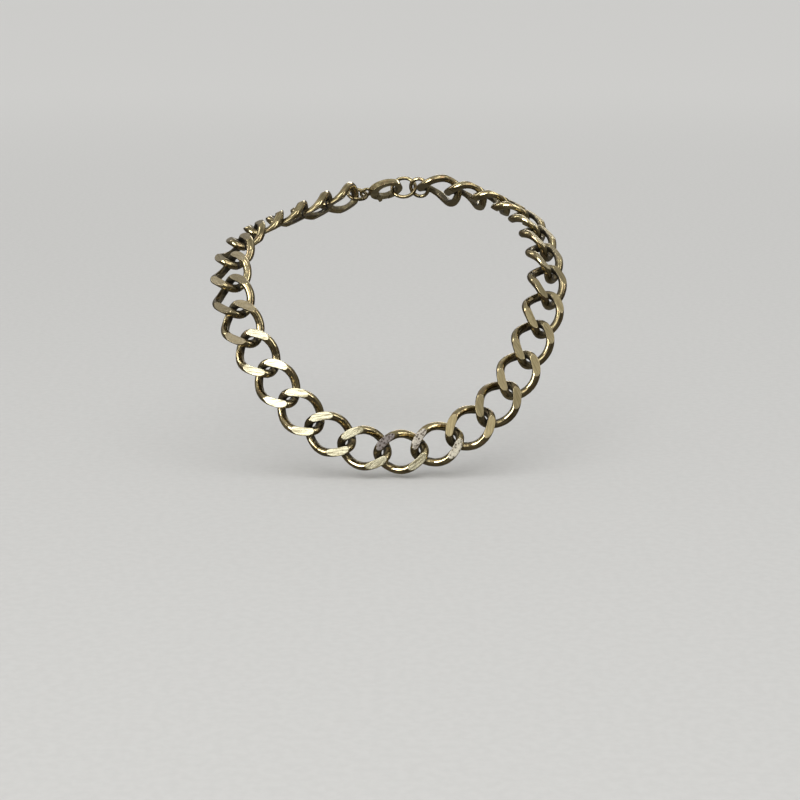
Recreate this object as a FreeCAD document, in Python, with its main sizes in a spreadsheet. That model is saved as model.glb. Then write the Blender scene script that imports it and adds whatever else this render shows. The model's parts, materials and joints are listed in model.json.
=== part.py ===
import FreeCAD, Part
import math
import os

# Chain necklace, laid as it is worn: 29 twisted curb links, two jump rings, a catch ring and a
# lobster clasp. Millimetres. The origin is on the neck's axis, level with the nape of the neck.
# +X is the wearer's left (the viewer's right), +Y runs to the back of the neck and +Z is up.

os.makedirs("parts", exist_ok=True)
doc = FreeCAD.newDocument("chain_necklace")

SIDE_LINKS = 14       # links on each side of the front one
SPINE_POINTS = 60     # points that the curve of a link's wire is drawn through

SIZES = {
    "wire_d": 4.1,          # curb link: wire diameter
    "link_len": 27.0,       # outer length, along the chain
    "link_wid": 21.6,       # outer width, across the chain
    "link_twist": 44.0,     # how far each end of the oval is turned out of its plane, in degrees
    "link_pitch": 18.0,     # from one joint of a link to the other
    "flat_level": 3.75,     # the ground flats, above and below the link's middle plane
    "seam_deg": 24.0,       # where the wire's two ends meet, as an angle round the oval
    "seam_gap": 0.16,
    "jump_wire": 2.0,       # jump rings
    "jump_mean_d": 10.0,
    "jump_slit": 0.14,
    "catch_wire": 2.0,      # catch ring
    "catch_mean_d": 12.6,
    "claw_rx": 9.5,         # clasp: outline of the claw, an ellipse a little behind the opening
    "claw_ry": 6.3,
    "claw_back": 0.9,
    "claw_thick": 3.4,
    "claw_dome_x": 12.2,    # the dome that thins its faces towards the rim
    "claw_dome_y": 8.4,
    "claw_dome_z": 3.1,
    "hole_rx": 5.6,         # opening that holds the catch ring
    "hole_ry": 3.9,
    "eye_x": 12.6,          # eye, behind the opening's centre
    "eye_mean_r": 2.7,
    "eye_wire_r": 0.85,
    "pivot_x": -6.4,        # rivet that the lever turns on
    "pivot_y": 3.0,
    "rivet_r": 0.8,
    "rivet_len": 3.3,
    "rivet_hole_r": 0.82,
    "lever_hole_r": 0.88,
    "slot_half": 1.15,      # slot in the heel, for the lever's root and its spring
    "root_thick": 1.1,
    "root_r": 2.0,
    "gate_thick": 2.8,
    "gate_reach": 8.0,      # from the pivot to the gate's tip
    "mouth_reach": 8.2,     # from the pivot to the hook's tip
    "spring_r": 1.25,
    "spring_wire_r": 0.14,
    "spring_pitch": 0.32,
    "spring_height": 0.6,
}

# Where the chain runs, in millimetres, and how far its face is rolled from facing straight out of
# the body, in degrees. The stations start at the front and go round by +X.
STATIONS = [
    ("front", 4, -86, -108, 1),
    ("chest_right", 46, -79, -89, 13),
    ("collar_right", 70, -54, -51, 13),
    ("shoulder_right", 75, -20, -23, -2),
    ("neck_right", 59, 30, -3, 0),
    ("nape", 2, 72, 3, -32),
    ("neck_left", -59, 27, -8, -5),
    ("shoulder_left", -81, -13, -19, 9),
    ("collar_left", -80, -50, -41, 19),
    ("chest_left", -64, -72, -68, 18),
    ("front_left", -37, -83, -97, 8),
]
CORE = FreeCAD.Vector(0, 20, -130)   # the point inside the body that faces point away from
FRONT_START = -0.25                  # joint at the left of the front link, in stations

# Lengths from joint to joint of the pieces that close the chain at the nape.
JUMP_LEFT_SPAN = 7.6
CLASP_SPAN = 19.3
CLASP_EYE_TO_JOINT = 14.1            # from the opening's centre back to the joint in the eye
CATCH_TO_JOINT = 5.05                # from the catch ring's centre to its joint with the jump ring
CATCH_SPAN = 9.55
JUMP_RIGHT_SPAN = 7.5
# How far each ring's axis is turned from the chain's width towards its face, in degrees.
JUMP_LEFT_TURN = 20.0
JUMP_RIGHT_TURN = -66.0
CATCH_TURN = -10.0


# ---------------------------------------------------------------- sizes in the spreadsheet

sheet = doc.addObject("Spreadsheet::Sheet", "dims")
entries = dict(SIZES)
for station, x, y, z, roll in STATIONS:
    entries["at_" + station + "_across"] = x
    entries["at_" + station + "_depth"] = y
    entries["at_" + station + "_height"] = z
    entries["at_" + station + "_roll"] = roll
for row, (name, value) in enumerate(entries.items(), start=1):
    sheet.set("A%d" % row, name)
    sheet.set("B%d" % row, repr(value))
    sheet.setAlias("B%d" % row, name)
doc.recompute()


def size(name):
    return float(getattr(sheet, name))


def bind(obj, **properties):
    """Ties properties of a document object to expressions on the spreadsheet."""
    for name, expression in properties.items():
        obj.setExpression(name.replace("__", "."), expression)
    return obj


# ---------------------------------------------------------------- the line of the chain

def station_at(t):
    """Position and roll on the closed curve through the stations (Catmull-Rom), at t stations."""
    first = math.floor(t)
    f = t - first
    near = [STATIONS[(first + k) % len(STATIONS)][1:] for k in (-1, 0, 1, 2)]
    found = []
    for before, here, after, beyond in zip(*near):
        slope = after - before
        curve = 2 * before - 5 * here + 4 * after - beyond
        twist = 3 * here - before - 3 * after + beyond
        found.append(0.5 * (2 * here + slope * f + curve * f**2 + twist * f**3))
    return FreeCAD.Vector(*found[:3]), found[3]


def step_along(t, length, way):
    """The place on the curve that is a straight length away from t, going way (+1 or -1)."""
    start = station_at(t)[0]
    far = t
    while (station_at(far)[0] - start).Length < length:
        far += 0.02 * way
    near = far - 0.02 * way
    for _ in range(40):
        middle = (near + far) / 2
        if (station_at(middle)[0] - start).Length < length:
            near = middle
        else:
            far = middle
    return far


def axes_between(low, high):
    """Directions along the chain, across it and out of its face, for a piece from low to high."""
    start, end = station_at(low)[0], station_at(high)[0]
    roll = math.radians(station_at((low + high) / 2)[1])
    along = (end - start).normalize()
    outward = (start + end) / 2 - CORE
    outward = (outward - along * outward.dot(along)).normalize()
    sideways = outward.cross(along)
    face = outward * math.cos(roll) + sideways * math.sin(roll)
    return along, face.cross(along), face


def placement(origin, x_axis, y_axis, z_axis):
    matrix = FreeCAD.Matrix(
        x_axis.x, y_axis.x, z_axis.x, origin.x,
        x_axis.y, y_axis.y, z_axis.y, origin.y,
        x_axis.z, y_axis.z, z_axis.z, origin.z,
        0, 0, 0, 1,
    )
    return FreeCAD.Placement(matrix)


def link_placement(low, high):
    along, across, face = axes_between(low, high)
    centre = (station_at(low)[0] + station_at(high)[0]) / 2
    return placement(centre, along, across, face)


def ring_placement(low, high, centre, turn):
    """A ring in its plane: X along the chain, Z its axis, turned from across towards the face."""
    along, across, face = axes_between(low, high)
    angle = math.radians(turn)
    axis = across * math.cos(angle) + face * math.sin(angle)
    return placement(centre, along, axis.cross(along), axis)


# ---------------------------------------------------------------- building blocks

def box(name, x, y, z):
    """A box from three (low, high) pairs of numbers or sheet expressions."""
    block = doc.addObject("Part::Box", name)
    for key, (low, high) in zip("xyz", (x, y, z)):
        side = {"x": "Length", "y": "Width", "z": "Height"}[key]
        block.setExpression("Placement.Base." + key, "(%s) * 1mm" % low)
        block.setExpression(side, "((%s) - (%s)) * 1mm" % (high, low))
    return block


def cylinder(name, radius, x, y, low, high):
    post = doc.addObject("Part::Cylinder", name)
    bind(post, Radius="(%s) * 1mm" % radius, Height="((%s) - (%s)) * 1mm" % (high, low))
    bind(post, Placement__Base__x="(%s) * 1mm" % x, Placement__Base__y="(%s) * 1mm" % y)
    bind(post, Placement__Base__z="(%s) * 1mm" % low)
    return post


def torus(name, mean_radius, wire_radius):
    ring = doc.addObject("Part::Torus", name)
    return bind(ring, Radius1="(%s) * 1mm" % mean_radius, Radius2="(%s) * 1mm" % wire_radius)


def oval_plate(name, x_radius, y_radius, x, thickness):
    """An ellipse, extruded to both sides of the XY plane."""
    edge = doc.addObject("Part::Ellipse", name + "_edge")
    bind(edge, MajorRadius="(%s) * 1mm" % x_radius, MinorRadius="(%s) * 1mm" % y_radius)
    bind(edge, Placement__Base__x="(%s) * 1mm" % x)
    plate = doc.addObject("Part::Extrusion", name)
    plate.Base = edge
    plate.DirMode = "Custom"
    plate.Dir = FreeCAD.Vector(0, 0, 1)
    plate.Solid = True
    plate.Symmetric = True
    return bind(plate, LengthFwd="(%s) * 1mm" % thickness)


def combine(kind, name, base, tool):
    """Part::Cut or Part::Common of two objects."""
    result = doc.addObject("Part::" + kind, name)
    result.Base = base
    result.Tool = tool
    return result


def join(name, shapes):
    result = doc.addObject("Part::MultiFuse", name)
    result.Shapes = shapes
    return result


pieces = []


def finish(obj, label, where):
    """Makes an object one of the necklace's pieces, with its node name and place."""
    obj.Label = label
    obj.Placement = where
    pieces.append(obj)


# ---------------------------------------------------------------- curb link

HALF_LEN = (size("link_len") - size("wire_d")) / 2
HALF_WID = (size("link_wid") - size("wire_d")) / 2


def link_point(angle):
    """The wire's centre line: an oval whose ends are turned opposite ways out of its plane."""
    u = math.cos(angle)
    turned = -math.radians(size("link_twist")) * u
    rise = HALF_WID * math.sin(angle)
    return FreeCAD.Vector(HALF_LEN * u, rise * math.cos(turned), rise * math.sin(turned))


seam = math.radians(size("seam_deg"))
half_gap = size("seam_gap") / 2 / HALF_LEN
angles = [
    seam + half_gap + (2 * math.pi - 2 * half_gap) * k / (SPINE_POINTS - 1)
    for k in range(SPINE_POINTS)
]
spine_curve = Part.BSplineCurve()
spine_curve.interpolate([link_point(angle) for angle in angles])
link_spine = doc.addObject("Part::Feature", "link_spine")
link_spine.Shape = Part.Wire([spine_curve.toShape()])

link_profile = doc.addObject("Part::Circle", "link_profile")
bind(link_profile, Radius="dims.wire_d / 2 * 1mm")
tangent = spine_curve.tangent(spine_curve.FirstParameter)[0]
link_profile.Placement = FreeCAD.Placement(
    link_point(angles[0]),
    FreeCAD.Rotation(FreeCAD.Vector(0, 0, 1), tangent),
)

link_wire = doc.addObject("Part::Sweep", "link_wire")
link_wire.Sections = [link_profile]
link_wire.Spine = (link_spine, [])
link_wire.Solid = True
link_wire.Frenet = False

# grinding leaves only what lies between the two flats' levels
link_slab = box(
    "link_slab",
    ("-dims.link_len", "dims.link_len"),
    ("-dims.link_wid", "dims.link_wid"),
    ("-dims.flat_level", "dims.flat_level"),
)


def add_link(label, low, high):
    finish(combine("Common", label, link_wire, link_slab), label, link_placement(low, high))


pitch = size("link_pitch")
left = FRONT_START
right = step_along(left, pitch, 1)
add_link("link_front", left, right)
for number in range(1, SIDE_LINKS + 1):
    further = step_along(right, pitch, 1)
    add_link("link_right_%02d" % number, right, further)
    right = further
for number in range(1, SIDE_LINKS + 1):
    further = step_along(left, pitch, -1)
    add_link("link_left_%02d" % number, further, left)
    left = further


# ---------------------------------------------------------------- rings

def jump_ring(label, where):
    ring = torus(label + "_round", "dims.jump_mean_d / 2", "dims.jump_wire / 2")
    slit = box(
        label + "_slit",
        ("-dims.jump_slit / 2", "dims.jump_slit / 2"),
        ("0", "dims.jump_mean_d"),
        ("-dims.jump_wire", "dims.jump_wire"),
    )
    finish(combine("Cut", label, ring, slit), label, where)


def middle_of(low, high):
    return (station_at(low)[0] + station_at(high)[0]) / 2


def jump_ring_between(label, low, high, turn):
    jump_ring(label, ring_placement(low, high, middle_of(low, high), turn))


right_jump_end = step_along(right, JUMP_RIGHT_SPAN, 1)
jump_ring_between("jump_ring_right", right, right_jump_end, JUMP_RIGHT_TURN)

catch_end = step_along(right_jump_end, CATCH_SPAN, 1)
catch_along = axes_between(right_jump_end, catch_end)[0]
catch_centre = station_at(right_jump_end)[0] + catch_along * CATCH_TO_JOINT
finish(
    torus("catch_ring", "dims.catch_mean_d / 2", "dims.catch_wire / 2"),
    "catch_ring",
    ring_placement(right_jump_end, catch_end, catch_centre, CATCH_TURN),
)

left_jump_end = step_along(left, JUMP_LEFT_SPAN, -1)
jump_ring_between("jump_ring_left", left_jump_end, left, JUMP_LEFT_TURN)


# ---------------------------------------------------------------- lobster clasp
# Its own frame: origin at the opening's centre, X from the eye to the hook, Y to the gate, and
# Z out of its face.

hook_end = step_along(left_jump_end, CLASP_SPAN, -1)
chain_along, chain_across, chain_face = axes_between(hook_end, left_jump_end)
to_hook = -chain_along
clasp_place = placement(
    station_at(left_jump_end)[0] + to_hook * CLASP_EYE_TO_JOINT,
    to_hook,
    chain_face.cross(to_hook),
    chain_face,
)


def domed_oval(name):
    """The claw's outline as a plate, thinned to a dome towards the rim."""
    plate = oval_plate(name + "_plate", "dims.claw_rx", "dims.claw_ry", "-dims.claw_back",
                       "dims.claw_thick")
    dome = doc.addObject("Part::Ellipsoid", name + "_dome")
    bind(dome, Radius1="dims.claw_dome_z * 1mm", Radius2="dims.claw_dome_x * 1mm",
         Radius3="dims.claw_dome_y * 1mm", Placement__Base__x="-dims.claw_back * 1mm")
    return combine("Common", name, plate, dome)


def opening(name):
    return oval_plate(name, "dims.hole_rx", "dims.hole_ry", "0", "3 * dims.claw_thick")


def reach(name, radius):
    return cylinder(name, radius, "dims.pivot_x", "dims.pivot_y", "-dims.claw_thick",
                    "dims.claw_thick")


# claw
eye = torus("claw_eye", "dims.eye_mean_r", "dims.eye_wire_r")
bind(eye, Placement__Base__x="-dims.eye_x * 1mm")
blank = join("claw_blank", [domed_oval("claw_body"), eye])
mouth = combine(
    "Common", "claw_mouth",
    reach("claw_mouth_reach", "dims.mouth_reach"),
    box("claw_mouth_block", ("-4.55", "4"), ("0.9", "9"),
        ("-dims.claw_thick", "dims.claw_thick")),
)
slot = box("claw_slot", ("-9.0", "-4.4"), ("0.7", "9"), ("-dims.slot_half", "dims.slot_half"))
rivet_hole = reach("claw_rivet_hole", "dims.rivet_hole_r")
away = join("claw_away", [opening("claw_opening"), mouth, slot, rivet_hole])
finish(combine("Cut", "clasp_claw", blank, away), "clasp_claw", clasp_place)

# lever: the gate is the piece of the claw's rim that the mouth leaves out
rim = combine("Cut", "gate_rim", domed_oval("gate_body"), opening("gate_opening"))
gate_limits = combine(
    "Common", "gate_limits",
    reach("gate_reach_limit", "dims.gate_reach"),
    box("gate_block", ("-4.0", "4"), ("0.9", "9"),
        ("-dims.gate_thick / 2", "dims.gate_thick / 2")),
)
gate = combine("Common", "gate", rim, gate_limits)
root_low = "-1.0"
root_high = "dims.root_thick - 1.0"
root = cylinder("lever_root", "dims.root_r", "dims.pivot_x", "dims.pivot_y", root_low, root_high)
arm = box("lever_arm", ("dims.pivot_x", "-3.4"), ("2.95", "4.9"), (root_low, root_high))
thumb = cylinder("lever_thumb", "1.15", "-2.9", "7.1", "-1.1", "1.1")
web = box("lever_web", ("-3.9", "-1.9"), ("5.2", "7.1"), ("-1.1", "1.1"))
lever_blank = join("lever_blank", [gate, root, arm, thumb, web])
lever_hole = reach("lever_rivet_hole", "dims.lever_hole_r")
finish(combine("Cut", "clasp_lever", lever_blank, lever_hole), "clasp_lever", clasp_place)

# rivet
rivet = doc.addObject("Part::Cylinder", "clasp_rivet")
bind(rivet, Radius="dims.rivet_r * 1mm", Height="dims.rivet_len * 1mm")
pivot = FreeCAD.Vector(size("pivot_x"), size("pivot_y"), 0)
rivet_base = pivot - FreeCAD.Vector(0, 0, size("rivet_len") / 2)
finish(rivet, "clasp_rivet",
       clasp_place.multiply(FreeCAD.Placement(rivet_base, FreeCAD.Rotation())))

# coil spring round the rivet, beside the lever's root
COIL_POINTS = 60
coil_turns = size("spring_height") / size("spring_pitch")
coil_points = []
for k in range(COIL_POINTS):
    share = k / (COIL_POINTS - 1)
    turn = 2 * math.pi * coil_turns * share
    coil_points.append(FreeCAD.Vector(size("spring_r") * math.cos(turn),
                                      size("spring_r") * math.sin(turn),
                                      size("spring_height") * share))
coil_curve = Part.BSplineCurve()
coil_curve.interpolate(coil_points)
coil = doc.addObject("Part::Feature", "spring_coil")
coil.Shape = Part.Wire([coil_curve.toShape()])
coil_profile = doc.addObject("Part::Circle", "spring_profile")
bind(coil_profile, Radius="dims.spring_wire_r * 1mm")
coil_profile.Placement = FreeCAD.Placement(
    coil_points[0],
    FreeCAD.Rotation(FreeCAD.Vector(0, 0, 1), coil_curve.tangent(coil_curve.FirstParameter)[0]),
)
spring = doc.addObject("Part::Sweep", "clasp_spring")
spring.Sections = [coil_profile]
spring.Spine = (coil, [])
spring.Solid = True
spring.Frenet = False
spring_base = pivot + FreeCAD.Vector(0, 0, 0.32)
finish(spring, "clasp_spring",
       clasp_place.multiply(FreeCAD.Placement(spring_base, FreeCAD.Rotation())))


# ---------------------------------------------------------------- check and write

doc.recompute()
for obj in doc.Objects:
    if "Invalid" in obj.State or "Error" in obj.State:
        raise RuntimeError("%s is %s" % (obj.Label, obj.State))
for obj in pieces:
    shape = obj.Shape
    if shape.isNull() or not shape.isValid() or not shape.Solids:
        raise RuntimeError("%s has no valid solid" % obj.Label)
    shape.exportStep("parts/%s.step" % obj.Label)
print("pieces:", len(pieces))
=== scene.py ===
"""Chain necklace: the looks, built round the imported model.

Every piece's place is worked out from the frame's joints and CAD meshes. The pieces are modelled
in millimetres, and MM turns them into metres. The floor, the lights and the camera are in metres.
"""

import json
import math

import bmesh
import bpy
import numpy as np
from mathutils import Matrix, Vector


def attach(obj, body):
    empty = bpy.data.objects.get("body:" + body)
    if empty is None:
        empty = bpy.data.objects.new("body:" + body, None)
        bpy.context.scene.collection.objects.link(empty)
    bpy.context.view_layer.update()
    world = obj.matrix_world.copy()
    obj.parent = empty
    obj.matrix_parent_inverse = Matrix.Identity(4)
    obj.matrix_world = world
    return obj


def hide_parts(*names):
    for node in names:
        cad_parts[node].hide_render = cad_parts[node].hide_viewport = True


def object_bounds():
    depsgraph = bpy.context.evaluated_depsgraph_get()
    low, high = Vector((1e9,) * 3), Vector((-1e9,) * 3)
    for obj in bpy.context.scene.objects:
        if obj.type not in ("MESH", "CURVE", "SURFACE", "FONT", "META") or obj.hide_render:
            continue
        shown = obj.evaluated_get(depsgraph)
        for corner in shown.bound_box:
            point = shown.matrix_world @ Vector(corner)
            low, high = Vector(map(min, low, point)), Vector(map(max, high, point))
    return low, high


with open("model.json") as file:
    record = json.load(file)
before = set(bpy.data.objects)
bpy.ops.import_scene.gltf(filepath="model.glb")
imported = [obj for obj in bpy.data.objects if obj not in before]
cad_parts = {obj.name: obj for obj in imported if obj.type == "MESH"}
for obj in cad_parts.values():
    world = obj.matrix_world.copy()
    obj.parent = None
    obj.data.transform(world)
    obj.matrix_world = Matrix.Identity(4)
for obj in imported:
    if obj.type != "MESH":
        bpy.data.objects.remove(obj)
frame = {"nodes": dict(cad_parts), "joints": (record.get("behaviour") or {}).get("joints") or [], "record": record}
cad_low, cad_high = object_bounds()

MM = 0.001

# ---------------------------------------------------------------- sizes, as in the CAD model

WIRE_R = 2.05
HALF_LEN, HALF_WID, TWIST = 11.45, 8.75, math.radians(44)
FLAT_LEVEL = 3.75
SEAM, SEAM_GAP = math.radians(24), 0.16
SIDE_LINKS = 14
JUMP_MEAN_R, CATCH_MEAN_R, RING_WIRE_R, JUMP_SLIT = 5.0, 6.3, 1.0, 0.14
CLASP_EYE = Vector((-14.1, 0, 0))       # joint in the clasp's eye, in the clasp's own frame
CLASP_PIVOT = Vector((-6.4, 3.0, 0))    # rivet that the lever turns on, in the same frame
OPENING_RX, OPENING_RY = 5.6, 3.9       # the clasp's opening, which the catch ring hangs in
RIVET_R, RIVET_HALF_LEN = 0.8, 1.65
SPRING_R, SPRING_WIRE_R, SPRING_PITCH, SPRING_HEIGHT = 1.25, 0.14, 0.32, 0.6
SPRING_LOW = 0.32                       # the spring's lower end above the clasp's middle plane


# ---------------------------------------------------------------- places, from the frame

CORE = Vector((0, 20, -130))            # a point inside the neck, which outer faces point away from
SQUARE_TO_CHAIN = 0.002                 # most of a flat's normal that may lie along its link
joints = {joint["name"]: joint for joint in frame["joints"]}


def joint_at(name):
    return Vector(joints[name]["pos_m"]) / MM


def cad_faces(node):
    """Centres, normals and areas of the faces of a CAD node's mesh."""
    polygons = frame["nodes"][node].data.polygons
    found = []
    for key, width in (("center", 3), ("normal", 3), ("area", 1)):
        values = np.zeros(len(polygons) * width)
        polygons.foreach_get(key, values)
        found.append(values.reshape(len(polygons), width))
    centres, normals, areas = found
    return centres / MM, normals, areas[:, 0]


def place(origin, x_axis, z_axis):
    """A piece's own frame in the row frame; z_axis is squared up to x_axis."""
    z_axis = (z_axis - x_axis * z_axis.dot(x_axis)).normalized()
    matrix = Matrix((x_axis, z_axis.cross(x_axis), z_axis)).transposed().to_4x4()
    matrix.translation = origin
    return matrix


def link_place(node, low, high):
    """Origin midway between the link's joints, x from one to the other, z out of its flats."""
    start, end = joint_at(low), joint_at(high)
    along = (end - start).normalized()
    _, normals, areas = cad_faces(node)
    square = np.abs(normals @ np.array(along)) < SQUARE_TO_CHAIN
    face = Vector(normals[np.argmax(areas * square)])
    if face.dot((start + end) / 2 - CORE) < 0:
        face.negate()
    return place((start + end) / 2, along, face)


def ring_place(node, low, high=None):
    """Origin at the ring's middle, x away from its joint low, z its axis, pointing forwards."""
    centres, _, areas = cad_faces(node)
    middle = np.average(centres, axis=0, weights=areas)
    axis = Vector(np.linalg.eigh(np.cov(centres.T, aweights=areas))[1][:, 0])
    if axis.y > 0:
        axis.negate()
    start = joint_at(low)
    origin = (start + joint_at(high)) / 2 if high else Vector(middle)
    return place(origin, (origin - start).normalized(), axis)


def clasp_place():
    """Set by the joint in its eye, and the lever's pivot, whose axis is its z downwards."""
    eye, pivot = joint_at("hinge_left_16"), joint_at("lever_pivot")
    face = -Vector(joints["lever_pivot"]["axis"])
    line = CLASP_PIVOT - CLASP_EYE
    way = (pivot - eye).normalized()
    x_axis = Matrix.Rotation(-math.atan2(line.y, line.x), 3, face) @ way
    return place(eye - x_axis * CLASP_EYE.x, x_axis, face)


links = {"link_front": link_place("link_front", "hinge_left_01", "hinge_right_01")}
for number in range(1, SIDE_LINKS + 1):
    near, far = "%02d" % number, "%02d" % (number + 1)
    links["link_right_" + near] = link_place("link_right_" + near,
                                             "hinge_right_" + near, "hinge_right_" + far)
    links["link_left_" + near] = link_place("link_left_" + near,
                                            "hinge_left_" + far, "hinge_left_" + near)
rings = {
    "jump_ring_right": ring_place("jump_ring_right", "hinge_right_15", "hinge_right_16"),
    "jump_ring_left": ring_place("jump_ring_left", "hinge_left_16", "hinge_left_15"),
    "catch_ring": ring_place("catch_ring", "hinge_right_16"),
}
clasp = clasp_place()

body_of_node = {n: b for b, ns in frame["record"]["behaviour"]["bodies"].items() for n in ns}


# ---------------------------------------------------------------- materials

def new_material(name):
    material = bpy.data.materials.new(name)
    material.use_nodes = True
    tree = material.node_tree
    return material, tree, tree.nodes["Principled BSDF"]


class Nodes:
    """Short calls that add a node and give back its output socket."""

    def __init__(self, tree):
        self.tree = tree

    def put(self, socket, value):
        if isinstance(value, bpy.types.NodeSocket):
            self.tree.links.new(value, socket)
        else:
            socket.default_value = value

    def attribute(self, name):
        node = self.tree.nodes.new("ShaderNodeAttribute")
        node.attribute_name = name
        return node.outputs["Vector"]

    def split(self, vector):
        node = self.tree.nodes.new("ShaderNodeSeparateXYZ")
        self.put(node.inputs[0], vector)
        return node.outputs

    def maths(self, operation, a, b=0.0, clamp=False):
        node = self.tree.nodes.new("ShaderNodeMath")
        node.operation, node.use_clamp = operation, clamp
        self.put(node.inputs[0], a)
        self.put(node.inputs[1], b)
        return node.outputs[0]

    def times(self, a, b):
        return self.maths("MULTIPLY", a, b)

    def plus(self, a, b, clamp=False):
        return self.maths("ADD", a, b, clamp)

    def scaled(self, vector, factors):
        node = self.tree.nodes.new("ShaderNodeVectorMath")
        node.operation = "MULTIPLY"
        self.put(node.inputs[0], vector)
        node.inputs[1].default_value = factors
        return node.outputs[0]

    def noise(self, vector, scale, detail=3.0, rough=0.55, distortion=0.0):
        node = self.tree.nodes.new("ShaderNodeTexNoise")
        self.put(node.inputs["Vector"], vector)
        node.inputs["Scale"].default_value = scale
        node.inputs["Detail"].default_value = detail
        node.inputs["Roughness"].default_value = rough
        node.inputs["Distortion"].default_value = distortion
        return node.outputs[0]

    def cells(self, vector, scale):
        node = self.tree.nodes.new("ShaderNodeTexVoronoi")
        self.put(node.inputs["Vector"], vector)
        node.inputs["Scale"].default_value = scale
        return node.outputs["Distance"]

    def span(self, value, low, high, to_low=0.0, to_high=1.0):
        node = self.tree.nodes.new("ShaderNodeMapRange")
        node.interpolation_type = "SMOOTHSTEP"
        self.put(node.inputs["Value"], value)
        for key, number in (("From Min", low), ("From Max", high),
                            ("To Min", to_low), ("To Max", to_high)):
            node.inputs[key].default_value = number
        return node.outputs["Result"]

    def mix(self, share, a, b):
        """Colours; share is a socket or a number."""
        node = self.tree.nodes.new("ShaderNodeMix")
        node.data_type = "RGBA"
        self.put(node.inputs[0], share)
        for socket, value in ((node.inputs[6], a), (node.inputs[7], b)):
            self.put(socket, value if isinstance(value, bpy.types.NodeSocket) else (*value, 1))
        return node.outputs[2]

    def blend(self, share, a, b):
        node = self.tree.nodes.new("ShaderNodeMix")
        node.data_type = "FLOAT"
        self.put(node.inputs[0], share)
        self.put(node.inputs[2], a)
        self.put(node.inputs[3], b)
        return node.outputs[0]

    def bump(self, height, distance):
        node = self.tree.nodes.new("ShaderNodeBump")
        node.inputs["Distance"].default_value = distance * MM
        node.inputs["Strength"].default_value = 1.0
        self.put(node.inputs["Height"], height)
        return node.outputs[0]

    def brightened(self, colour, factor):
        node = self.tree.nodes.new("ShaderNodeHueSaturation")
        self.put(node.inputs["Value"], factor)
        self.put(node.inputs["Color"], colour)
        return node.outputs[0]


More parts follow.
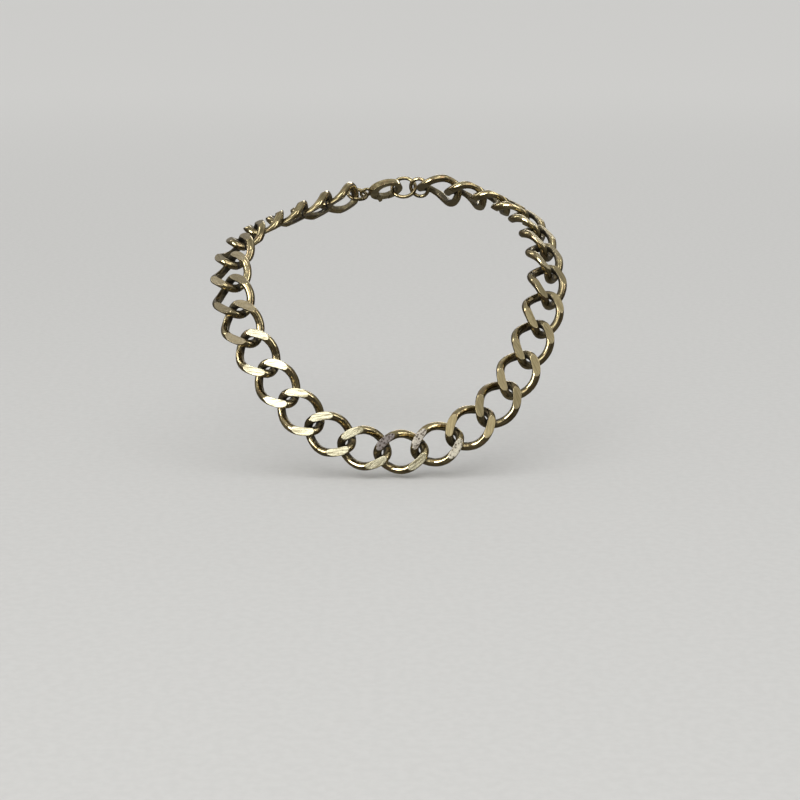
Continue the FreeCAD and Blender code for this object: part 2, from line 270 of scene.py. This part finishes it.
def gold(name):
    """Aged gold plate. Attributes, all per vertex: own, brush and wire are positions in mm for the
    patterns; mask is (ground flat, rim of a flat with worn plate and a painted highlight, grime with
    painted shade); look is (tone, pitting, polish with its painted sheen or shade)."""
    material, tree, shader = new_material(name)
    n = Nodes(tree)
    own, brush, wire = n.attribute("own"), n.attribute("brush"), n.attribute("wire")
    flat, worn_rim_and_highlight, grime_and_shade = n.split(n.attribute("mask"))
    tone, pitting, polish_and_sheen = n.split(n.attribute("look"))

    clouds = n.noise(own, 0.13, 4.0, 0.6)
    blotches = n.noise(own, 0.55, 5.0, 0.65, 0.4)
    specks = n.noise(own, 3.2, 3.0, 0.6)
    drawn = n.noise(n.scaled(wire, (0.05, 1.1, 1.1)), 1.0, 3.0, 0.58)
    strokes = n.noise(n.scaled(brush, (0.12, 1.5, 1.0)), 1.0, 4.0, 0.7)
    fine_strokes = n.noise(n.scaled(brush, (0.5, 6.0, 1.0)), 1.0, 2.0, 0.6)
    pits = n.cells(own, 0.85)
    fine_pits = n.cells(own, 2.2)

    # the round of the wire: olive gold, coppery where the plate is thin, dark along draw lines, and lighter along
    # the flats' rims, worn plate with a painted highlight
    round_colour = n.mix(n.span(clouds, 0.36, 0.64), (0.27, 0.225, 0.120), (0.56, 0.475, 0.270))
    round_colour = n.mix(n.times(n.span(blotches, 0.50, 0.66), 0.6), round_colour,
                         (0.42, 0.245, 0.145))
    round_colour = n.mix(n.times(n.span(drawn, 0.56, 0.40), 0.62), round_colour,
                         (0.11, 0.085, 0.042))
    round_colour = n.mix(n.times(worn_rim_and_highlight, 0.75), round_colour, (0.80, 0.68, 0.41))

    # the ground flats: satin or bright by polish, the bright ones with a painted sheen and the satin ones with
    # painted shade, and pitted where the plate has gone
    satin_and_shade = n.mix(n.span(strokes, 0.34, 0.66), (0.27, 0.222, 0.120), (0.42, 0.352, 0.205))
    bright_and_sheen = n.mix(n.span(strokes, 0.36, 0.54), (0.27, 0.235, 0.14), (0.66, 0.625, 0.46))
    flat_colour = n.mix(polish_and_sheen, satin_and_shade, bright_and_sheen)
    worn = n.mix(n.span(pits, 0.24, 0.58), (0.070, 0.055, 0.050),
                 n.mix(polish_and_sheen, (0.27, 0.245, 0.24), (0.60, 0.565, 0.49)))
    worn = n.mix(n.times(n.span(fine_pits, 0.34, 0.12), 0.75), worn, (0.09, 0.065, 0.05))
    flat_colour = n.mix(pitting, flat_colour, worn)
    colour = n.mix(flat, round_colour, flat_colour)

    # grime and painted shade where links rub and inside the bends, then small dark spots everywhere
    dirt_and_shade = n.times(grime_and_shade, n.span(n.plus(blotches, n.times(specks, 0.35)), 0.42, 0.78, 0.62, 1.3))
    dirt_and_shade = n.maths("MINIMUM", dirt_and_shade, 1.0)
    grime_and_shade_colour = n.mix(n.span(specks, 0.5, 0.62), (0.016, 0.011, 0.007), (0.036, 0.034, 0.019))
    colour = n.mix(n.times(dirt_and_shade, 0.96), colour, grime_and_shade_colour)
    spot = n.times(n.span(specks, 0.64, 0.72), n.blend(flat, 0.6, 0.22))
    colour = n.mix(spot, colour, (0.07, 0.05, 0.026))
    n.put(shader.inputs["Base Color"], n.brightened(colour, n.span(tone, 0.0, 1.0, 0.80, 1.20)))

    n.put(shader.inputs["Metallic"], n.span(dirt_and_shade, 0.25, 1.0, 1.0, 0.45))

    # gloss, then the draw lines, grinding strokes, pits and grime as relief
    round_rough = n.plus(n.span(blotches, 0.35, 0.75, 0.09, 0.21), n.times(specks, 0.04))
    flat_rough = n.blend(polish_and_sheen, n.span(strokes, 0.3, 0.7, 0.44, 0.30),
                         n.span(strokes, 0.3, 0.7, 0.30, 0.17))
    flat_rough = n.blend(pitting, flat_rough, 0.36)
    rough = n.blend(flat, round_rough, flat_rough)
    rough = n.plus(rough, n.times(dirt_and_shade, 0.32), clamp=True)
    n.put(shader.inputs["Roughness"], rough)

    on_flat = n.plus(n.times(strokes, 0.6), n.times(fine_strokes, 0.4))
    pitted = n.plus(n.times(n.span(pits, 0.08, 0.50), 3.2),
                    n.times(n.span(fine_pits, 0.05, 0.35), 1.4))
    on_flat = n.blend(pitting, on_flat, pitted)
    on_round = n.plus(n.times(drawn, 0.34), n.plus(n.times(blotches, 0.10), n.times(specks, 0.03)))
    height = n.blend(flat, on_round, on_flat)
    height = n.plus(height, n.times(n.times(dirt_and_shade, specks), 1.3))
    n.put(shader.inputs["Normal"], n.bump(height, 0.045))
    return material


def steel(name):
    """Drawn spring steel, a little stained."""
    material, tree, shader = new_material(name)
    n = Nodes(tree)
    own, wire = n.attribute("own"), n.attribute("wire")
    lines = n.noise(n.scaled(wire, (0.15, 9.0, 9.0)), 1.0, 3.0)
    stains = n.noise(own, 1.3, 4.0, 0.6)
    colour = n.mix(n.span(lines, 0.35, 0.65), (0.46, 0.45, 0.43), (0.66, 0.65, 0.62))
    colour = n.mix(n.times(n.span(stains, 0.5, 0.7), 0.5), colour, (0.30, 0.23, 0.16))
    n.put(shader.inputs["Base Color"], colour)
    shader.inputs["Metallic"].default_value = 1.0
    n.put(shader.inputs["Roughness"], n.span(stains, 0.3, 0.7, 0.22, 0.42))
    n.put(shader.inputs["Normal"], n.bump(lines, 0.01))
    return material


chain_gold = gold("chain_gold_aged")
fitting_gold = gold("fitting_gold_aged")
spring_steel = steel("spring_steel_drawn")


# ---------------------------------------------------------------- meshes

def smooth_step(value, low, high):
    f = np.clip((value - low) / (high - low), 0, 1)
    return f * f * (3 - 2 * f)


def make_piece(name, points, faces, attributes, material, node):
    """A mesh object in the row frame, with its attributes, standing for one CAD node."""
    mesh = bpy.data.meshes.new(name)
    mesh.from_pydata((points * MM).tolist(), [], faces)
    mesh.validate()
    for key, values in attributes.items():
        layer = mesh.attributes.new(key, "FLOAT_VECTOR", "POINT")
        layer.data.foreach_set("vector", np.ascontiguousarray(values, np.float32).ravel())
    mesh.polygons.foreach_set("use_smooth", [True] * len(mesh.polygons))
    mesh.update()
    mesh.materials.append(material)
    piece = bpy.data.objects.new(name, mesh)
    bpy.context.scene.collection.objects.link(piece)
    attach(piece, body_of_node[node])
    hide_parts(node)


def tube_faces(rings_count, around, closed, capped):
    """Quads between neighbouring rings of a tube; fans to two end points that follow them."""
    faces = []
    for k in range(rings_count if closed else rings_count - 1):
        a, b = k * around, ((k + 1) % rings_count) * around
        for j in range(around):
            q = (j + 1) % around
            faces.append((a + j, a + q, b + q, b + j))
    if capped:
        low_tip, high_tip = rings_count * around, rings_count * around + 1
        last = (rings_count - 1) * around
        for j in range(around):
            q = (j + 1) % around
            faces.append((q, j, low_tip))
            faces.append((last + j, last + q, high_tip))
    return faces


def to_row(points, matrix):
    m = np.array(matrix)
    return points @ m[:3, :3].T + m[:3, 3]


def centre_line(angle):
    """The wire's centre line in the link's own frame, for an array of angles."""
    u = np.cos(angle)
    turned = -TWIST * u
    rise = HALF_WID * np.sin(angle)
    return np.stack([HALF_LEN * u, rise * np.cos(turned), rise * np.sin(turned)], -1)


AROUND_FLAT = np.array([0.0, 0.35, 0.68, 0.90])     # places across half a flat, as a share of it
BEVEL = 0.055               # half width of a flat's worn rim
SIDE_COUNT = 13             # places round each side of the wire, between its flats
LEAST_FLAT = 0.32           # radians kept for a flat where there is none
RINGS = 210                 # sections along the wire
RING_MARGIN = 0.4           # from a wire end to the nearest of them
END_ROUND = [(0.0, 0.24), (0.035, 0.13), (0.10, 0.045), (0.20, 0.0)]    # from the end, inset
RIM_SOFTNESS = 0.05         # how gently the round of the wire runs into a flat
FLAT_BLEND, RIM_WIDTH = 0.14, 0.16      # how far the flat's finish and the rim's wear and painted highlight fade
NO_FLAT = 9.0               # distance to a flat where there is none
RUB_AND_SHADE_REACH = 2.2             # how far from a neighbour's wire its grime and painted shade reach
UNEVEN = 0.6                # share of the full unevenness below


def link_samples():
    """Angles round the oval at even lengths along the wire, from one end of it to the other,
    with the tangent there and how far each is from the nearer end."""
    start = SEAM + SEAM_GAP / 2 / HALF_LEN
    fine = np.linspace(start, SEAM - SEAM_GAP / 2 / HALF_LEN + 2 * math.pi, 4001)
    line = centre_line(fine)
    length = np.concatenate([[0], np.cumsum(np.linalg.norm(np.diff(line, axis=0), axis=1))])
    total = length[-1]
    near_end = [d for d, _ in END_ROUND]
    wanted = np.concatenate([near_end, np.linspace(RING_MARGIN, total - RING_MARGIN, RINGS),
                             [total - d for d in reversed(near_end)]])
    angle = np.interp(wanted, length, fine)
    delta = 1e-5
    tangent = centre_line(angle + delta) - centre_line(angle - delta)
    tangent /= np.linalg.norm(tangent, axis=1)[:, None]
    return wanted, angle, tangent, np.minimum(wanted, total - wanted)


def half_ring(w_up, w_low):
    """Angles from the top of the wire's section to its bottom, with vertices along both flats'
    edges. Top flat's half width first."""
    up, low = max(w_up, LEAST_FLAT), max(w_low, LEAST_FLAT)
    rim = BEVEL / WIRE_R
    places = list(AROUND_FLAT * (up - rim)) + [up - rim, up, up + rim]
    start, end = up + rim, math.pi - low - rim
    places += [start + (end - start) * k / (SIDE_COUNT + 1) for k in range(1, SIDE_COUNT + 1)]
    places += [end, end + rim, end + 2 * rim]
    places += [math.pi - a for a in reversed(AROUND_FLAT * (low - rim))]
    return np.array(places)


def unit(vectors):
    return vectors / np.maximum(np.linalg.norm(vectors, axis=-1), 1e-9)[..., None]


def half_flat(height, lift):
    """Half the angle that the ground level cuts off the wire's section; 0 where it misses."""
    return np.arccos(np.clip((FLAT_LEVEL - height) / (WIRE_R * lift), -1, 1))


def unevenness(along, a, phase):
    """Slow waves of the bent and tumbled wire, as a share of its radius."""
    waves = (0.014 * np.sin(along * 0.55 + phase[0] + np.sin(a + phase[1]))
             + 0.010 * np.sin(along * 1.3 + 2 * a + phase[2])
             + 0.007 * np.sin(along * 2.7 - a + phase[3]))
    return 1 + waves * UNEVEN


def grind(points):
    """Cuts the section down to the two ground levels, with a softened rim."""
    for sign in (1, -1):
        over = sign * points[:, 2] - FLAT_LEVEL
        soft = 0.5 * (over + np.sqrt(over**2 + RIM_SOFTNESS**2) - RIM_SOFTNESS * 0.2)
        points[:, 2] -= sign * soft * (over > -5 * RIM_SOFTNESS)


def gap_to_neighbours(points, name):
    """How far each point stands from the wires of the links next to this one."""
    here = chain_order.index(name)
    near = np.full(len(points), 99.0)
    angles = np.linspace(0, 2 * math.pi, 120, endpoint=False)
    for other in (here - 1, here + 1):
        if 0 <= other < len(chain_order):
            line = to_row(centre_line(angles), links[chain_order[other]])
            gap = np.sqrt(((points[:, None, :] - line[None]) ** 2).sum(-1).min(1)) - WIRE_R
            near = np.minimum(near, gap)
    return near


def link_mesh(index, name, finish_and_sheen):
    """A twisted curb link. The third argument is (tone, (pitting, polish with its painted sheen or
    shade) on the +Y side, the same on the -Y side)."""
    rng = np.random.default_rng(4100 + index)
    along, angle, tangent, from_end = link_samples()
    centre = centre_line(angle)
    up_axis = np.array([0, 0, 1.0]) - tangent[:, 2:3] * tangent
    lift = np.linalg.norm(up_axis, axis=1)
    up_axis /= lift[:, None]
    side_axis = np.cross(tangent, up_axis)
    radius = WIRE_R - np.interp(from_end, *zip(*END_ROUND))
    w_up, w_low = half_flat(centre[:, 2], lift), half_flat(-centre[:, 2], lift)
    phase = rng.uniform(0, 2 * math.pi, 6)
    offset = rng.uniform(-400, 400, 3)
    tone, first, second = finish_and_sheen
    chosen = [first if y > 0 else second for y in np.sin(angle)]

    points, wire, mask, look = [], [], [], []
    for k in range(len(along)):
        half = half_ring(w_up[k], w_low[k])
        a = np.concatenate([half, 2 * math.pi - half[-2:0:-1]])
        section = radius[k] * unevenness(along[k], a, phase)
        p = centre[k] + section[:, None] * (np.cos(a)[:, None] * up_axis[k]
                                            + np.sin(a)[:, None] * side_axis[k])
        grind(p)
        fold = np.minimum(a, 2 * math.pi - a)
        to_up = (fold - w_up[k]) * WIRE_R if w_up[k] > 0 else NO_FLAT
        to_low = (math.pi - fold - w_low[k]) * WIRE_R if w_low[k] > 0 else NO_FLAT
        distance = np.minimum(to_up, to_low) + 0 * a
        same = np.ones(len(a))
        points.append(p)
        wire.append(np.stack([(along[k] + offset[0]) * same, WIRE_R * np.cos(a),
                              WIRE_R * np.sin(a)], -1))
        mask.append(np.stack([np.clip(0.5 - distance / FLAT_BLEND, 0, 1),
                              np.exp(-(distance / RIM_WIDTH) ** 2), 0 * a], -1))
        look.append(np.stack([tone * same, chosen[k][0] * same, chosen[k][1] * same], -1))
    around = len(points[0])
    for k in (0, -1):
        points.append(centre[k][None])
        wire.append(np.array([[along[k] + offset[0], 0, 0]]))
        mask.append(np.array([[0, 0, 1.0]]))
        look.append(np.array([[tone, 0, 0]]))
    points, wire, mask, look = (np.concatenate(v) for v in (points, wire, mask, look))

    stroke = math.radians(rng.uniform(28, 62))
    turn = np.array([[math.cos(stroke), math.sin(stroke), 0],
                     [-math.sin(stroke), math.cos(stroke), 0], [0, 0, 1]])
    row = to_row(points, links[name])
    # grime and painted shade inside the bends and where a neighbour's wire comes close, and grime at the seam
    outward = unit(points - np.concatenate([np.repeat(centre, around, 0), points[-2:]]))
    inner = smooth_step((outward * -unit(points)).sum(1), 0.15, 0.95)
    seam_dirt = smooth_step(np.concatenate([np.repeat(from_end, around), [0, 0]]), 0.62, 0.26)
    close = np.exp(-(np.maximum(gap_to_neighbours(row, name), 0) / RUB_AND_SHADE_REACH) ** 2)
    # the ground flats are mostly kept free of the grime and painted shade, except near the seam
    kept_clean_and_unshaded = 1 - 0.85 * mask[:, 0] * (1 - seam_dirt)
    mask[:, 2] = np.clip(close + 0.68 * inner + seam_dirt, 0, 1) * kept_clean_and_unshaded
    # less worn rim and painted highlight where a neighbour's wire comes close
    mask[:, 1] *= 1 - 0.6 * close
    attributes = {"own": points + offset, "brush": points @ turn.T + offset, "wire": wire,
                  "mask": mask, "look": look}
    return row, tube_faces(len(along), around, False, True), attributes


chain_order = (["link_left_%02d" % k for k in range(SIDE_LINKS, 0, -1)] + ["link_front"]
               + ["link_right_%02d" % k for k in range(1, SIDE_LINKS + 1)])

# (pitting, polish) of a flat; the mirror flats carry a painted sheen, the satin and dull ones painted shade
SATIN_AND_SHADE, MIRROR_AND_SHEEN, DULL_AND_SHADE = (0.0, 0.0), (0.0, 1.0), (0.28, 0.0)
WORN, HALF_WORN, SPECKLED = (0.97, 0.0), (0.9, 0.55), (0.75, 0.9)
POLISHED_AND_LIT = ["link_left_%02d" % k for k in range(1, 6)]


def flats_of(name):
    """The finish of a link's flats, with its painted sheen or shade, on its +Y side and on its -Y side."""
    if name == "link_front":
        return WORN, MIRROR_AND_SHEEN
    if name == "link_right_01":
        return HALF_WORN, SPECKLED
    if name in POLISHED_AND_LIT:
        return MIRROR_AND_SHEEN, MIRROR_AND_SHEEN
    return (DULL_AND_SHADE, DULL_AND_SHADE) if name.startswith("link_left") else (SATIN_AND_SHADE, SATIN_AND_SHADE)


tones = np.random.default_rng(77).uniform(0.2, 0.8, len(chain_order))
for index, name in enumerate(chain_order):
    points, faces, attributes = link_mesh(index, name, (tones[index], *flats_of(name)))
    make_piece("chain_" + name, points, faces, attributes, chain_gold, name)


def round_tube(line, tangents, radius, around, closed, seed, matrix, dirt_and_shade, tone):
    """A round wire along a line, with the attributes that its material reads."""
    rng = np.random.default_rng(seed)
    offset = rng.uniform(-300, 300, 3)
    steps = np.linalg.norm(np.diff(line, axis=0), axis=1)
    length = np.concatenate([[0], np.cumsum(steps)])
    a = np.linspace(0, 2 * math.pi, around, endpoint=False)
    axis = np.array([0, 0, 1.0]) - tangents[:, 2:3] * tangents
    axis /= np.linalg.norm(axis, axis=1)[:, None]
    side = np.cross(tangents, axis)
    spokes = (np.cos(a)[None, :, None] * axis[:, None] + np.sin(a)[None, :, None] * side[:, None])
    points = line[:, None] + radius[:, None, None] * spokes
    mean = line.mean(0)
    inner = -(spokes * ((line - mean) / np.linalg.norm(line - mean, axis=1)[:, None])[:, None])
    inner = smooth_step(inner.sum(-1), 0.1, 0.9)
    wire = np.stack(np.broadcast_arrays(
        length[:, None] + offset[0], np.cos(a)[None] * radius.max(),
        np.sin(a)[None] * radius.max()), -1)
    count = len(line)
    flat_points = points.reshape(-1, 3)
    # grime and painted shade on the inner side of the ring, with the grime and painted shade given along the wire
    grime_and_shade = np.clip(inner * 0.4 + dirt_and_shade[:, None], 0, 1).reshape(-1)
    wire = wire.reshape(-1, 3)
    if not closed:
        flat_points = np.concatenate([flat_points, line[[0, -1]]])
        grime_and_shade = np.concatenate([grime_and_shade, [1, 1]])
        wire = np.concatenate([wire, [[length[0], 0, 0], [length[-1], 0, 0]]])
    zero = np.zeros(len(flat_points))
    attributes = {
        "own": flat_points + offset, "brush": flat_points + offset, "wire": wire,
        "mask": np.stack([zero, zero, grime_and_shade], -1),
        "look": np.stack([zero + tone, zero, zero], -1),
    }
    return to_row(flat_points, matrix), tube_faces(count, around, closed, not closed), attributes


RING_END_ROUND = [(0.0, 0.16), (0.03, 0.08), (0.09, 0.025), (0.17, 0.0)]    # from the end, inset


def ring_piece(piece_name, node, mean_radius, wire_radius, slit, seed, tone):
    """A ring of round wire, closed or with a slit on its +Y side."""
    count, margin = 120, 0.3 / mean_radius
    if slit:
        gap = slit / 2 / mean_radius
        whole = 2 * math.pi - 2 * gap
        ends = np.array([d for d, _ in RING_END_ROUND]) / mean_radius
        turn = np.concatenate([ends, np.linspace(margin, whole - margin, count),
                               whole - ends[::-1]])
        from_end = np.minimum(turn, whole - turn) * mean_radius
        radius = wire_radius - np.interp(from_end, *zip(*RING_END_ROUND))
        angle = turn + gap + math.pi / 2
        dirt_and_shade = smooth_step(from_end, 0.28, 0.02)
    else:
        angle = np.linspace(0, 2 * math.pi, count, endpoint=False)
        radius = np.full(count, wire_radius)
        dirt_and_shade = np.zeros(count)
    # worn a little thinner where it rubs its neighbours, at both ends of the chain's line, and darker there with
    # grime and painted shade
    rub = np.exp(-(np.sin(angle) / 0.35) ** 2)
    radius = radius * (1 - 0.012 * rub)
    dirt_and_shade = np.clip(dirt_and_shade + 0.35 * rub, 0, 1)
    line = np.stack([mean_radius * np.cos(angle), mean_radius * np.sin(angle), 0 * angle], -1)
    tangent = np.stack([-np.sin(angle), np.cos(angle), 0 * angle], -1)
    points, faces, attributes = round_tube(line, tangent, radius, 36, not slit, seed,
                                           rings[node], dirt_and_shade, tone)
    make_piece(piece_name, points, faces, attributes, fitting_gold, node)


ring_piece("ring_jump_right", "jump_ring_right", JUMP_MEAN_R, RING_WIRE_R, JUMP_SLIT, 11, 0.55)
ring_piece("ring_jump_left", "jump_ring_left", JUMP_MEAN_R, RING_WIRE_R, JUMP_SLIT, 12, 0.4)
ring_piece("ring_catch", "catch_ring", CATCH_MEAN_R, RING_WIRE_R, 0, 13, 0.6)


# ---------------------------------------------------------------- clasp

def cast_piece(piece_name, node, voxel, smoothing, seed, tone):
    """The CAD solid's own shape with its edges rounded over, as a casting's are."""
    mesh = frame["nodes"][node].data.copy()
    piece = bpy.data.objects.new(piece_name, mesh)
    bpy.context.scene.collection.objects.link(piece)
    remesh = piece.modifiers.new("cast", "REMESH")
    remesh.mode, remesh.voxel_size, remesh.use_smooth_shade = "VOXEL", voxel * MM, True
    soften = piece.modifiers.new("soften", "SMOOTH")
    soften.factor, soften.iterations = 0.5, smoothing
    made = bpy.data.meshes.new_from_object(
        piece.evaluated_get(bpy.context.evaluated_depsgraph_get()))
    bpy.data.objects.remove(piece)
    count = len(made.vertices)
    co = np.zeros(count * 3)
    made.vertices.foreach_get("co", co)
    normal = np.zeros(count * 3)
    made.vertices.foreach_get("normal", normal)
    co, normal = co.reshape(-1, 3) / MM, normal.reshape(-1, 3)
    faces = [tuple(p.vertices) for p in made.polygons]
    inverse = np.array(clasp.inverted())
    local = co @ inverse[:3, :3].T + inverse[:3, 3]
    local_normal = normal @ inverse[:3, :3].T
    rng = np.random.default_rng(seed)
    offset = rng.uniform(-300, 300, 3)
    # polished faces with a little painted sheen; grime and painted shade round the opening, in the slot and round
    # the rivet
    opening = np.hypot(local[:, 0] / OPENING_RX, local[:, 1] / OPENING_RY)
    facing_in = (local_normal[:, :2] * -local[:, :2]).sum(1) / np.maximum(
        np.linalg.norm(local[:, :2], axis=1), 1e-6)
    grime_and_shade = smooth_step(opening, 1.25, 1.0) * smooth_step(facing_in, -0.1, 0.7) * 0.55
    rivet = np.hypot(local[:, 0] - CLASP_PIVOT.x, local[:, 1] - CLASP_PIVOT.y)
    grime_and_shade = np.maximum(grime_and_shade, smooth_step(rivet, 1.35, 0.85) * 0.8)
    inside_slot = ((np.abs(local[:, 2]) < 1.1) & (local[:, 0] > -9) & (local[:, 0] < -4.5)
                   & (local[:, 1] > 0.6))
    grime_and_shade = np.maximum(grime_and_shade, inside_slot * 0.6)
    face = smooth_step(np.abs(local_normal[:, 2]), 0.93, 0.99)
    zero = np.zeros(count)
    attributes = {
        "own": local + offset, "brush": local + offset, "wire": local + offset,
        "mask": np.stack([face * 0.7, zero, grime_and_shade], -1),
        "look": np.stack([zero + tone, zero, zero + 0.25], -1),
    }
    make_piece(piece_name, co, faces, attributes, fitting_gold, node)


cast_piece("clasp_claw_cast", "clasp_claw", 0.11, 8, 21, 0.6)
cast_piece("clasp_lever_cast", "clasp_lever", 0.09, 7, 22, 0.75)


def rivet_piece():
    """A pin with a domed head at each end."""
    dome = [(0.22, 0.01), (0.44, 0.05), (0.62, 0.12), (0.74, 0.22), (RIVET_R, 0.35)]
    profile = [(0.0, RIVET_HALF_LEN)] + [(r, RIVET_HALF_LEN - drop) for r, drop in dome]
    profile += [(RIVET_R, 0.6), (RIVET_R, 0.0)]
    profile += [(r, -z) for r, z in reversed(profile[:-1])]
    around = 40
    a = np.linspace(0, 2 * math.pi, around, endpoint=False)
    body = profile[1:-1]
    points = np.concatenate(
        [np.stack([r * np.cos(a), r * np.sin(a), 0 * a + z], -1) for r, z in body]
        + [[[0, 0, profile[0][1]]], [[0, 0, profile[-1][1]]]])
    faces = [face[::-1] for face in tube_faces(len(body), around, False, True)]
    local = points + np.array(CLASP_PIVOT)
    zero = np.zeros(len(points))
    # the rim of each head: worn plate with a painted highlight, and grime and painted shade where it meets the
    # clasp
    rim = np.exp(-((np.hypot(points[:, 0], points[:, 1]) - RIVET_R + 0.02) / 0.08) ** 2)
    pattern = points + 51
    attributes = {
        "own": pattern, "brush": pattern, "wire": pattern,
        "mask": np.stack([zero, rim * 0.3, rim * 0.7], -1),
        "look": np.stack([zero + 0.7, zero, zero], -1),
    }
    make_piece("clasp_rivet_domed", to_row(local, clasp), faces, attributes, fitting_gold,
               "clasp_rivet")


def spring_piece():
    """The coil spring round the rivet."""
    turns = SPRING_HEIGHT / SPRING_PITCH
    count = int(turns * 48) + 1
    angle = np.linspace(0, 2 * math.pi * turns, count)
    x, y, rise = SPRING_R * np.cos(angle), SPRING_R * np.sin(angle), SPRING_PITCH / (2 * math.pi)
    line = np.stack([x, y, rise * angle], -1)
    tangent = unit(np.stack([-y, x, rise + 0 * angle], -1))
    matrix = clasp @ Matrix.Translation(CLASP_PIVOT + Vector((0, 0, SPRING_LOW)))
    points, faces, attributes = round_tube(line, tangent, np.full(count, SPRING_WIRE_R), 16,
                                           False, 31, matrix, np.zeros(count), 0.5)
    make_piece("clasp_spring_coil", points, faces, attributes, spring_steel,
               "clasp_spring")


rivet_piece()
spring_piece()


# ---------------------------------------------------------------- floor, light and camera

def floor_material():
    """Pale and finely grained; a little lighter far out, where less of the light reaches."""
    material, tree, shader = new_material("studio_floor")
    n = Nodes(tree)
    coords = tree.nodes.new("ShaderNodeTexCoord").outputs["Object"]
    grain = n.noise(coords, 260.0, 3.0)
    colour = n.mix(n.span(grain, 0.3, 0.7), (0.96, 0.96, 0.95), (1.0, 1.0, 0.99))
    x, y, _ = n.split(coords)
    out = n.maths("SQRT", n.plus(n.times(x, x), n.times(y, y)))
    n.put(shader.inputs["Base Color"], n.brightened(colour, n.span(out, 0.3, 3.0, 0.60, 0.70)))
    shader.inputs["Roughness"].default_value = 0.85
    shader.inputs["Specular IOR Level"].default_value = 0.2
    return material


FLOOR_GAP, FLOOR_RADIUS = 1.5 * MM, 14.0
floor_mesh = bpy.data.meshes.new("studio_floor")
shape = bmesh.new()
bmesh.ops.create_circle(shape, cap_ends=True, segments=128, radius=FLOOR_RADIUS)
shape.to_mesh(floor_mesh)
shape.free()
floor = bpy.data.objects.new("studio_floor", floor_mesh)
floor.location.z = cad_low.z - FLOOR_GAP
floor_mesh.materials.append(floor_material())
bpy.context.scene.collection.objects.link(floor)


def direction(azimuth, elevation):
    """Azimuth 0 is towards -Y, where the camera stands, and grows towards +X."""
    a, e = math.radians(azimuth), math.radians(elevation)
    return Vector((math.sin(a) * math.cos(e), -math.cos(a) * math.cos(e), math.sin(e)))


AIM = Vector((0, -0.02, -0.06))     # what the lights point at, near the chain's middle


def soft_light(name, azimuth, elevation, distance, width, height, watts, colour=(1, 1, 1)):
    data = bpy.data.lights.new(name, "AREA")
    data.shape, data.size, data.size_y = "RECTANGLE", width, height
    data.energy, data.color = watts, colour
    lamp = bpy.data.objects.new(name, data)
    way = direction(azimuth, elevation)
    lamp.location = AIM + way * distance
    lamp.rotation_mode = "QUATERNION"
    lamp.rotation_quaternion = way.to_track_quat("Z", "Y")
    lamp.visible_camera = False
    bpy.context.scene.collection.objects.link(lamp)
    return lamp


soft_light("key", -13, 30, 1.9, 1.0, 1.15, 9, (1.0, 0.985, 0.94))
for strip in (soft_light("left_side", -58, 16, 1.9, 0.66, 0.95, 34),
              soft_light("brow_strip", 0, 66, 1.7, 0.9, 0.18, 4.0),
              soft_light("right_strip", 66, 28, 1.7, 0.18, 0.9, 4.5),
              soft_light("far_left_strip", -112, 34, 1.7, 0.18, 0.9, 4.5),
              soft_light("back_strip", 168, 26, 1.8, 1.2, 0.22, 6)):
    strip.visible_diffuse = False       # these show in the metal only, and leave the floor even

# the ceiling lights the floor evenly, and is too even to show in the metal
sun_data = bpy.data.lights.new("ceiling", "SUN")
sun_data.energy, sun_data.angle = 1.15, math.radians(70)
sun = bpy.data.objects.new("ceiling", sun_data)
sun.rotation_mode = "QUATERNION"
sun.rotation_quaternion = direction(10, 72).to_track_quat("Z", "Y")
sun.visible_glossy = False
bpy.context.scene.collection.objects.link(sun)
floor.visible_glossy = False

# a room that is dim below and at eye level, and lighter above
world = bpy.data.worlds.new("studio")
world.use_nodes = True
bpy.context.scene.world = world
sky = Nodes(world.node_tree)
up = sky.split(world.node_tree.nodes.new("ShaderNodeTexCoord").outputs["Generated"])[2]
background = world.node_tree.nodes["Background"]
sky.put(background.inputs["Color"],
        sky.mix(sky.span(up, -0.02, 0.68), (0.135, 0.127, 0.112), (0.62, 0.615, 0.60)))
background.inputs["Strength"].default_value = 1.0
bpy.context.scene.view_settings.view_transform = "Standard"

CAMERA_TARGET = Vector((1.82, 0.0, -100.0)) * MM
CAMERA_DISTANCE = 1.1
camera_data = bpy.data.cameras.new("camera")
camera_data.sensor_width, camera_data.lens = 36.0, 95.0
camera_data.clip_start, camera_data.clip_end = 0.05, 60.0
camera = bpy.data.objects.new("camera", camera_data)
view_way = direction(0, 12)
camera.location = CAMERA_TARGET + view_way * CAMERA_DISTANCE
camera.rotation_mode = "QUATERNION"
camera.rotation_quaternion = view_way.to_track_quat("Z", "Y")
bpy.context.scene.collection.objects.link(camera)
bpy.context.scene.camera = camera
